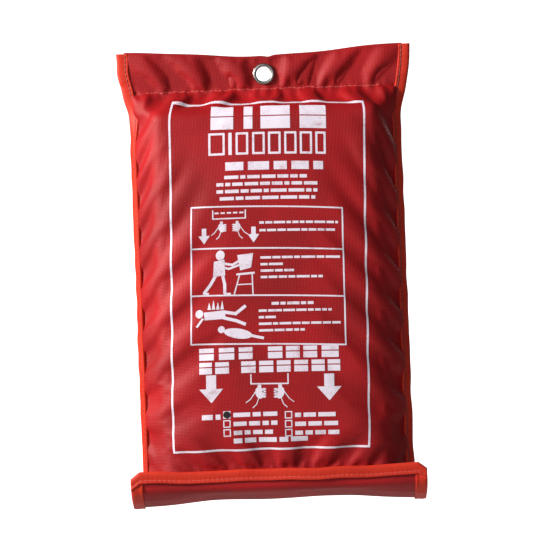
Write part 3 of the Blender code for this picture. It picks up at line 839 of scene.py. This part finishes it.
def stitches(path, up, lift=0.2, pitch=PITCH):
    """Arched stitches along a path whose surface faces up."""
    gone = np.concatenate([[0], np.cumsum(np.linalg.norm(np.diff(path, axis=0), axis=1))])
    lines = []
    for start in np.arange(0.4, gone[-1] - pitch, pitch):
        share = np.linspace(0, 1, 6)
        where = start + 0.1 + share * (pitch * 0.86)
        centre = np.stack([np.interp(where, gone, path[:, axis]) for axis in range(3)], axis=1)
        away = np.stack([np.interp(where, gone, up[:, axis]) for axis in range(3)], axis=1)
        lines.append(centre + unit(away) * (lift * np.sin(pi * share) - 0.22)[:, None])
    return lines


for name, (sewn, up) in tapes.items():
    lines = stitches(sewn + up * TAPE_PLY * 0.92, up) + stitches(sewn - up * TAPE_PLY * 0.92, -up)
    # the side stitches take the darkened thread: painted shade standing in for the shadow line along the
    # tapes
    seam = strands(name + "_seam_stitches", lines, THREAD + 0.07, side_thread_painted_shade)
    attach(seam, "pouch")
    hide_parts(name + "_seam_thread")
across = np.linspace(4.5, columns - 4.5, 400)
seam_path = between(front_grid, header_rows + 0.0 * across, across)
seam_up = facing(front_grid, header_rows + 0.0 * across, across)
header_lines = stitches(seam_path + seam_up * 0.05, seam_up, 0.28)
header_seam = strands("header_seam_stitches", header_lines, THREAD, thread_light)
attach(header_seam, "pouch")
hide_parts("header_seam_thread")

# ======== Closing flap ========
# The back cloth folded forwards under the mouth and up over its front, in two lengths, bound
# on three sides with the same tape.
FLAP_HALF = corners("flap_lip_edge_tape")[1][0]
LIP_TOP = corners("flap_lip_edge_tape")[1][2]


def rounded(points, radii, step):
    """A path of (depth, height) points with rounded corners, and the share where each corner lies."""
    points = [np.array(point, float) for point in points]
    path = [points[0]]
    for before, corner, after, radius in zip(points, points[1:], points[2:], radii):
        one, other = unit(before - corner), unit(after - corner)
        half = acos(float(np.clip(one @ other, -1, 1))) / 2
        cut = radius / np.tan(half)
        centre = corner + unit(one + other) * (radius / sin(half))
        first, last = corner + one * cut, corner + other * cut
        for share in np.linspace(0, 1, 9):
            arm = first + (last - first) * share - centre
            path.append(centre + unit(arm) * radius)
    path.append(points[-1])
    path = np.array(path)
    gone = np.concatenate([[0], np.cumsum(np.linalg.norm(np.diff(path, axis=0), axis=1))])
    where = np.linspace(0, gone[-1], int(gone[-1] / step) + 1)
    return np.stack([np.interp(where, gone, path[:, axis]) for axis in range(2)], axis=1), where


LIP_DEPTH = KNEE_DEPTH + 0.4
flap_path, flap_run = rounded(
    [(0.8, BACK_FOOT + 4.0), (0.8, FOLD_Z - 0.6), (LIP_DEPTH, KNEE_Z - 0.6), (LIP_DEPTH, LIP_TOP - 1.0)],
    [3.0, 4.6], 0.75,
)
# the flap's two lengths meet here, half way under the mouth
middle = int(np.argmin(np.hypot(flap_path[:, 0] - 14.0, flap_path[:, 1] + 265.0)))


def flap_point(place, x):
    """A point on the flap's middle surface, sagging a little and wavy between its bound sides."""
    depth, z = flap_path[place]
    loose = np.cos(pi * np.clip(x / FLAP_HALF, -1, 1) / 2) ** 0.7
    low = ease((-250.0 - z) / 10.0) * ease((depth - 0.2) / 3.0)
    low = low * ease((KNEE_DEPTH - 1.0 - depth) / 8.0 + 0.15)
    wave = 0.4 - 3.0 * ease((np.abs(x) - 42.0) / 48.0) - 0.55 * (1.0 + ripple(x, 0.0 * x, 58.0, 51))
    lip = ease((z - KNEE_Z) / 8.0)
    out = 0.35 * ripple(x, 0.0 * x, 48.0, 52) * lip
    out = out + 0.25 * ripple(x, z + 0.0 * x, 20.0, 53) * loose * (1 - lip) * low
    height = z + wave * low + 0.35 * ripple(x, 0.0 * x, 80.0, 54) * lip
    return np.stack([x, -(depth + out) + 0.0 * x, height], axis=-1)


flap_x = np.linspace(-FLAP_HALF + 4.0, FLAP_HALF - 4.0, 150)
flap_grid = np.array([flap_point(place, flap_x) for place in range(len(flap_path))])
flap_flat = np.stack(np.broadcast_arrays(flap_x[None, :], -flap_run[:, None]), axis=-1)
lean = unit(np.array([KNEE_DEPTH - FOLD_DEPTH, KNEE_Z - FOLD_Z]))


def bend_end(depth, z):
    """Where a bend starts or ends, in metres."""
    return 0, -depth * MM, z * MM


FOLD_ENDS = (
    bend_end(FOLD_DEPTH, FOLD_Z + 3.2),
    bend_end(FOLD_DEPTH + lean[0] * 3.2, FOLD_Z + lean[1] * 3.2),
)
KNEE_ENDS = (
    bend_end(KNEE_DEPTH - lean[0] * 3.0, KNEE_Z - lean[1] * 3.0),
    bend_end(KNEE_DEPTH, KNEE_Z + 3.0),
)

for name, part, bodies, ends, node_name in (
    ("flap_base_cloth", slice(0, middle + 1), ("pouch", "flap_base"), FOLD_ENDS, "flap_base_panel"),
    ("flap_lip_cloth", slice(middle, None), ("flap_base", "flap_lip"), KNEE_ENDS, "flap_lip_panel"),
):
    cloth = cloth_sheet(name, flap_grid[part], CLOTH, oxford, flat=flap_flat[part], flipped=True)
    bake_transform(cloth)
    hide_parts(node_name)

for side, name in ((-1, "left"), (1, "right")):
    outermost = np.array([side * (FLAP_HALF - 0.2)])
    edge = np.array([flap_point(place, outermost)[0] for place in range(len(flap_path))])
    edge[:, 0] += side * 0.2 * ripple(flap_run, flap_run * 0, 15.0, 61)
    slope = unit(np.gradient(edge, axis=0))
    into = np.tile([-side, 0.0, 0.0], (len(edge), 1))
    up = unit(np.cross(slope, into)) * side
    waves = np.cos(2 * pi * flap_run / PITCH)
    rows = bound_edge(edge, into, up, TAPE_WIDTH, 0.85, waves)
    for part, bodies, ends, label in (
        (slice(2, middle + 1), ("pouch", "flap_base"), FOLD_ENDS, "flap_base_" + name + "_tape"),
        (slice(middle, len(edge) - 7), ("flap_base", "flap_lip"), KNEE_ENDS, "flap_lip_" + name + "_tape"),
    ):
        tape = loft(label + "_cloth", rows[part], grosgrain, flipped=side < 0)
        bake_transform(tape)
        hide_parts(label)

lip_x = np.arange(-FLAP_HALF, FLAP_HALF + 0.1, 0.75)
top = flap_point(len(flap_path) - 1, lip_x)
top[:, 2] += 0.9 + 0.35 * ripple(lip_x, 0.0 * lip_x, 26.0, 71)
top[:, 1] += 0.35 * ripple(lip_x, 0.0 * lip_x, 33.0, 72)
top[:, 2] -= 4.2 * np.clip((np.abs(lip_x) - FLAP_HALF + 5.5) / 5.5, 0.0, 1.0)  # folded-in corners
into = np.tile([0.0, 0.0, -1.0], (len(lip_x), 1))
up = np.tile([0.0, -1.0, 0.0], (len(lip_x), 1))
lip_rows = bound_edge(top, into, up, TAPE_WIDTH, 1.5, np.cos(2 * pi * lip_x / PITCH), 1.3)
lip_tape = loft("flap_lip_edge_tape_cloth", lip_rows, grosgrain, flipped=True)
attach(lip_tape, "flap_lip")
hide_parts("flap_lip_edge_tape")
sewn = top + into * (TAPE_WIDTH - LOCK)
lip_lines = stitches(sewn + up * 1.3, up, 0.25) + stitches(sewn - up * 1.1, -up, 0.1)
lip_seam = strands("flap_edge_stitches", lip_lines, THREAD, thread_light)
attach(lip_seam, "flap_lip")
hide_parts("flap_edge_thread")

# ======== Hook and loop strips ========
# Hook-and-loop tape: a fuzzy loop strip sewn on the pouch above the mouth, and a hook strip inside
# the lip. Both are woven ground with real strands standing on it.
STRIP_GROUND = 0.45  # thickness of the woven ground

# Dyed nylon: a darker red than the cloth, dull, and uneven where the pile lies different ways.
nylon = strand_material("nylon_hook_and_loop_dark_red", "#5c0b10", "#9c1a1e", 1800.0, 3.0, 0.7, 0.15)


def strip(name, node_name, body, facing_front, curl):
    """A ground tape with strands on its face; curl closes each strand into a loop or leaves it a hook."""
    low, high = corners(node_name)
    back_y = high[1] if facing_front else low[1]
    sign = -1.0 if facing_front else 1.0
    x = np.linspace(low[0], high[0], 120)
    z = np.linspace(high[2], low[2], 12)
    xx, zz = np.meshgrid(x, z)
    face = np.stack([xx, back_y + sign * (STRIP_GROUND + 0.04 * ripple(xx, zz, 6.0, 81)), zz], axis=-1)
    base = cloth_sheet(name, face, STRIP_GROUND, nylon, flipped=not facing_front)
    draw = np.random.RandomState(82)
    tall = (high[1] - low[1]) - STRIP_GROUND - 0.02
    lines = []
    for place_x in np.arange(low[0] + 1.0, high[0] - 1.0, 1.25):
        for place_z in np.arange(low[2] + 0.7, high[2] - 0.6, 1.2):
            cx = place_x + draw.uniform(-0.25, 0.25)
            cz = place_z + draw.uniform(-0.25, 0.25)
            lean = draw.uniform(0, 2 * pi) if curl > 0.9 else 0.0
            steps = np.linspace(0, pi * curl, 5)
            out = back_y + sign * (STRIP_GROUND - 0.05 + np.sin(np.minimum(steps, pi)) * tall)
            side = 0.42 * (1 - np.cos(steps))
            lines.append(np.stack([cx + side * cos(lean), out, cz + side * sin(lean)], axis=1))
    pile = strands(name + "_pile", lines, 0.07, nylon, 4)
    for part in (base, pile):
        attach(part, body)
    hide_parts(node_name)


strip("loop_strip_tape", "loop_strip", "pouch", True, 1.0)
strip("hook_strip_tape", "hook_strip", "flap_lip", False, 0.72)

# ======== Folded blanket ========
# A one-metre square of heat-set glass cloth, folded in seven plies across and five leaves down, lying
# loose in the pouch. The whole sheet is here, fold by fold.
PLIES = 7
LEAVES = 5
PLY_PITCH = 0.46  # from ply to ply
SHEET = 0.38  # thickness of the glass cloth
REAR_LEAF = 108.0  # what is left of the cloth's length for the leaf at the back
ROUNDED_FROM = 61.0  # past this half width the outer leaves are drawn in, so the bundle's edge is round
MIDDLE_DEPTH = 12.15  # from the wall to the middle of the blanket


def zigzag(ends, pitch, straight, bend):
    """A path folded to and fro between ends: along, offset, and its direction of travel along and off."""
    places = []
    here = ends[0]
    for turn, goal in enumerate(ends[1:]):
        heading = 1.0 if goal > here else -1.0
        last = turn == len(ends) - 2
        stop = goal if last else goal - heading * pitch / 2
        for share in np.linspace(0, 1, straight):
            places.append((here + (stop - here) * share, turn * pitch, heading, 0.0))
        if not last:
            for angle in np.linspace(0, pi, bend + 2)[1:-1]:
                along = stop + heading * pitch / 2 * sin(angle)
                off = turn * pitch + pitch / 2 * (1 - cos(angle))
                places.append((along, off, heading * cos(angle), sin(angle)))
        here = stop
    return np.array(places)


draw = np.random.RandomState(91)
across_ends = (BLANKET_HIGH[0] - 0.3) * np.array([-1, 1, -1, 1, -1, 1, -1, 1])
across_ends -= np.sign(across_ends) * draw.uniform(0, 1.2, PLIES + 1)
ply = zigzag(across_ends, PLY_PITCH, 11, 3)
slack = PLIES * PLY_PITCH / 2
leaf_pitch = (BLANKET_HIGH[1] - BLANKET_LOW[1] - 2 * slack) / (LEAVES - 1)
top = BLANKET_HIGH[2] - slack
foot = BLANKET_LOW[2] + slack
down_ends = [BLANKET_HIGH[2] - 0.4, foot, top, foot, top, BLANKET_HIGH[2] - REAR_LEAF]
leaf = zigzag(down_ends, leaf_pitch, 18, 7)
off = ply[:, 1] - PLY_PITCH * (PLIES - 1) / 2
depth = -BLANKET_LOW[1] - slack - leaf[:, 1]
blanket = np.stack([
    np.broadcast_to(ply[None, :, 0], (len(leaf), len(ply))),
    -(depth[:, None] + off[None, :] * leaf[:, 2][:, None]),
    leaf[:, 0][:, None] + off[None, :] * leaf[:, 3][:, None],
], axis=-1)
inward = np.clip((np.abs(-blanket[..., 1] - MIDDLE_DEPTH) - 1.6) / 7.6, 0.0, 1.0)
kept_width = np.maximum(np.sqrt(1.0 - inward**2), 0.2)
beyond = np.maximum(np.abs(blanket[..., 0]) - ROUNDED_FROM, 0.0)
blanket[..., 0] -= np.sign(blanket[..., 0]) * beyond * (1.0 - kept_width)
blanket[..., 1] += (blanket[..., 1] + MIDDLE_DEPTH) * -0.24 * ease((blanket[..., 2] + 40.0) / 16.0)
blanket[..., 1] += 0.12 * ripple(blanket[..., 0], blanket[..., 2], 45.0, 92)
run_down = np.concatenate([[0], np.cumsum(np.hypot(np.diff(leaf[:, 0]), np.diff(leaf[:, 1])))])
run_across = np.concatenate([[0], np.cumsum(np.hypot(np.diff(ply[:, 0]), np.diff(ply[:, 1])))])
blanket_flat = np.stack(np.broadcast_arrays(run_across[None, :], run_down[:, None]), axis=-1)

# Woven glass fibre, heat set: warm white, with a faint silky shine. Its threads are drawn 1.3 mm apart.
glass = woven_material("heat_set_glass_fibre_cloth", "#cfc9bb", "#f2eee2", 1.3, 0.42, 0.1, 0.10, 30.0)
sheet = cloth_sheet("fire_blanket_sheet", blanket, SHEET, glass, flat=blanket_flat)
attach(sheet, "blanket")
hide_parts("folded_blanket")

# ======== Pull tapes ========
# Two loops of black polypropylene webbing, 25 mm wide and 1.2 mm thick, tacked to the blanket's bottom
# fold with white thread.
WEBBING = 1.2

# Heavy woven polypropylene: black, coarse, with a slight gloss on each thread.
webbing = woven_material("black_polypropylene_webbing", "#0b0b0c", "#232325", 1.3, 0.42, 0.2, 0.22, 20.0)
# Undyed polyester thread: an even off-white.
tack_thread = plain_material("white_polyester_tack_thread", "#e8e4dc", 0.5)[0]
for name in ("left_pull_tape", "right_pull_tape"):
    low, high = corners(name)
    near, far = -low[1] - 0.1, -high[1] + 1.3
    sewn_end, bottom = foot + 1.2, low[2] + 0.2
    loop, run = rounded([(near, sewn_end), (near, bottom), (far, bottom), (far, sewn_end)], [2.0, 2.0], 0.5)
    x = np.linspace(low[0], high[0], 34)
    edge = 0.12 * ripple(x, 0.0 * x, 9.0, 95)
    rows = np.array([np.stack([x, -(d + edge), z + 0.0 * x], axis=-1) for d, z in loop])
    flat = np.stack(np.broadcast_arrays(x[None, :], -run[:, None]), axis=-1)
    tape = cloth_sheet(name + "_webbing", rows, WEBBING, webbing, flat=flat)
    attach(tape, "blanket")
    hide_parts(name)
    level = foot - 1.6
    ends = np.linspace(low[0] + 2.0, high[0] - 2.0, 40)
    path = np.stack([ends, -near + 0.0 * ends - 0.05, level + 0.6 * np.sin(np.arange(40) * 2.2)], axis=1)
    outwards = np.tile([0.0, -1.0, 0.0], (40, 1))
    tack = strands(name + "_tack", stitches(path, outwards, 0.25, 2.0), 0.2, tack_thread)
    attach(tack, "blanket")

# ======== Hanging eyelet ========
# A nickel-plated steel eyelet through both layers of the header. Its barrel is rolled over a washer
# behind, which clamps the cloth.
BORE = 4.7  # radius
FLANGE = 5.75  # radius of the rolled rim's crown

# Drawn steel, nickel plated: satin from handling, with its roughness broken up by small scuffs.
nickel, tree, shader = new_material("nickel_plated_steel_satin")
place = {"Vector": node(tree, "ShaderNodeTexCoord").outputs["Object"]}
scuff = node(tree, "ShaderNodeTexNoise", place, Scale=700.0, Detail=5.0)
shader.inputs["Base Color"].default_value = linear("#a8a29b")
shader.inputs["Metallic"].default_value = 1.0
worn = node(tree, "ShaderNodeMapRange", {"Value": scuff.outputs["Fac"]})
worn.inputs["To Min"].default_value = 0.16
worn.inputs["To Max"].default_value = 0.36
tree.links.new(worn.outputs["Result"], shader.inputs["Roughness"])


def turned_ring(name, node_name, profile):
    """A ring turned from a closed profile of (radius, distance from the wall)."""
    angle = np.arange(96) * 2 * pi / 96
    profile = np.array(profile)
    x = profile[:, 0] * np.cos(angle)[:, None]
    z = profile[:, 0] * np.sin(angle)[:, None]
    points = np.stack([x, np.broadcast_to(-profile[:, 1], x.shape), z], axis=-1)
    index = np.arange(x.size).reshape(x.shape)
    after = np.roll(index, -1, axis=0)
    quads = np.stack([index, after, np.roll(after, -1, axis=1), np.roll(index, -1, axis=1)], axis=-1)
    ring = make_object(name, points, list(quads.reshape(-1, 4)), nickel)
    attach(ring, "pouch")
    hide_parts(node_name)


rim = -corners("eyelet")[0][1]
washer = corners("eyelet_washer")[1][0]
roll = [(FLANGE + 1.05 * cos(a), rim - 0.62 + 0.62 * sin(a)) for a in np.linspace(-0.3, pi, 16)]
turned_ring("rolled_eyelet", "eyelet", roll + [
    (BORE, rim - 1.0), (BORE, 0.45), (BORE + 0.25, 0.15), (BORE + 1.0, 0.12), (BORE + 1.1, 0.3),
    (BORE + 0.35, 0.5), (BORE + 0.32, rim - 1.1), (6.2, rim - 1.05),
])
turned_ring("spread_washer", "eyelet_washer", [
    (washer, 0.6), (washer - 0.2, 0.5), (BORE + 0.5, 0.52), (BORE + 0.4, 0.8), (BORE + 0.5, 1.1),
    (washer - 0.3, 1.12), (washer, 0.95),
])

# ======== Stage, light and camera ========
# A pale floor well below the hanging pouch, a white backdrop far behind it, a big soft key light at the
# upper left and a weak fill, so that the right side falls into shade.


def stage_plane(name, points, colour, glow):
    """A flat sheet in matt paint; glow makes it shine by itself."""
    made, shader = plain_material(name + "_paint_matt", colour, 0.9)
    shader.inputs["Emission Color"].default_value = linear(colour)
    shader.inputs["Emission Strength"].default_value = glow
    mesh = bpy.data.meshes.new(name)
    mesh.from_pydata(points, [], [(0, 1, 2, 3)])
    mesh.materials.append(made)
    item = bpy.data.objects.new(name, mesh)
    bpy.context.scene.collection.objects.link(item)


stage_plane("floor", [(-4, -5, -1.3), (4, -5, -1.3), (4, 2.9, -1.3), (-4, 2.9, -1.3)], "#e6e4e1", 0.0)
stage_plane("backdrop", [(-0.8, 3, -0.9), (0.8, 3, -0.9), (0.8, 3, 0.7), (-0.8, 3, 0.7)], "#ffffff", 1.0)


def soft_light(name, place, aim, size, power, colour):
    data = bpy.data.lights.new(name, "AREA")
    data.shape = "DISK"
    data.size = size
    data.energy = power
    data.color = linear(colour)[:3]
    item = bpy.data.objects.new(name, data)
    item.location = place
    item.rotation_mode = "QUATERNION"
    item.rotation_quaternion = (Vector(aim) - Vector(place)).to_track_quat("-Z", "Y")
    bpy.context.scene.collection.objects.link(item)


middle_of_pouch = (0.0, 0.0, -0.13)
soft_light("key_light", (-1.25, -0.56, 0.42), middle_of_pouch, 0.45, 46.0, "#fffaf5")
soft_light("fill_light", (-0.55, -1.85, 0.35), middle_of_pouch, 0.9, 7.0, "#f4f6ff")
soft_light("rear_light", (0.9, 1.4, 0.7), middle_of_pouch, 1.0, 14.0, "#ffffff")
world = bpy.data.worlds.new("studio")
world.use_nodes = True
world.node_tree.nodes["Background"].inputs["Color"].default_value = linear("#eceef2")
world.node_tree.nodes["Background"].inputs["Strength"].default_value = 0.15
bpy.context.scene.world = world

VIEW_WIDTH = 0.344  # metres across at the pouch's front
DISTANCE = 1.6
AIM_X = 0.0023
AIM_Z = -0.1274
LEAN = 2.21  # the pouch hangs a little askew
lens = bpy.data.cameras.new("camera")
lens.sensor_width = 36.0
lens.lens = 36.0 * DISTANCE / VIEW_WIDTH
camera = bpy.data.objects.new("camera", lens)
camera.location = (AIM_X, -DISTANCE - FRONT_DEPTH * MM, AIM_Z)
camera.rotation_mode = "XYZ"
camera.rotation_euler = (radians(90.0), radians(LEAN), 0.0)
bpy.context.scene.collection.objects.link(camera)
bpy.context.scene.camera = camera
bpy.context.scene.view_settings.view_transform = "Standard"
